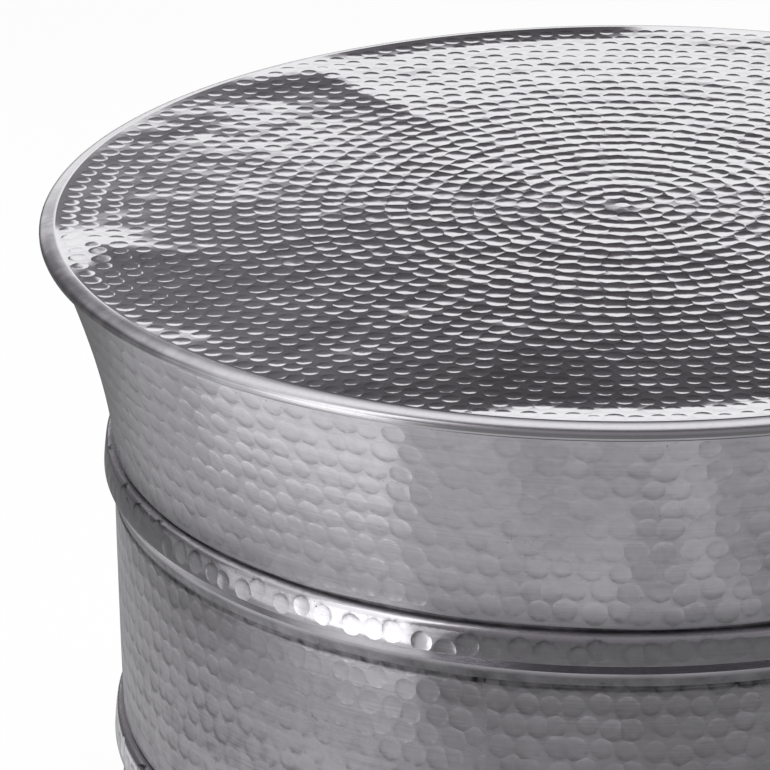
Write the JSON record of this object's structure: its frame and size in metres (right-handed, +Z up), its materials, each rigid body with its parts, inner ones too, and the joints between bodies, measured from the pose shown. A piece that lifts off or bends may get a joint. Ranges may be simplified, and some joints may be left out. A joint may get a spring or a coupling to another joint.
{
  "type": "hammered metal coffee table",
  "caption": "Round drum coffee table of hammered aluminium sheet, with a flat top, flared ends, bulged rings round the waist and an open underside.",
  "frame": {"origin": "on the floor, under the middle of the drum", "axes": "+Z up along the drum's axis; +X along the upper brace bar, through one foot glide"},
  "size_m": [0.6002, 0.5992, 0.42],
  "materials": {
    "top_sheet": "hammered in close rows round the middle, bright polished",
    "band_sheet": "planished with round shallow hammer marks, satin polished",
    "edge_wire": "drawn wire",
    "brace_bar": "mill finish",
    "glide_plastic": "moulded, fine grain"
  },
  "bodies": {
    "root": {"top_plate": "top_sheet", "rim_wire": "edge_wire", "upper_flare": "band_sheet", "upper_ring": "band_sheet", "waist_band": "band_sheet", "lower_ring": "band_sheet", "lower_flare": "band_sheet", "foot_wire": "edge_wire", "cross_brace_upper": "brace_bar", "cross_brace_lower": "brace_bar", "brace_rivet": "brace_bar", "foot_glide_1": "glide_plastic", "foot_glide_2": "glide_plastic", "foot_glide_3": "glide_plastic", "foot_glide_4": "glide_plastic", "foot_glide_5": "glide_plastic", "foot_glide_6": "glide_plastic"}
  },
  "joints": []
}
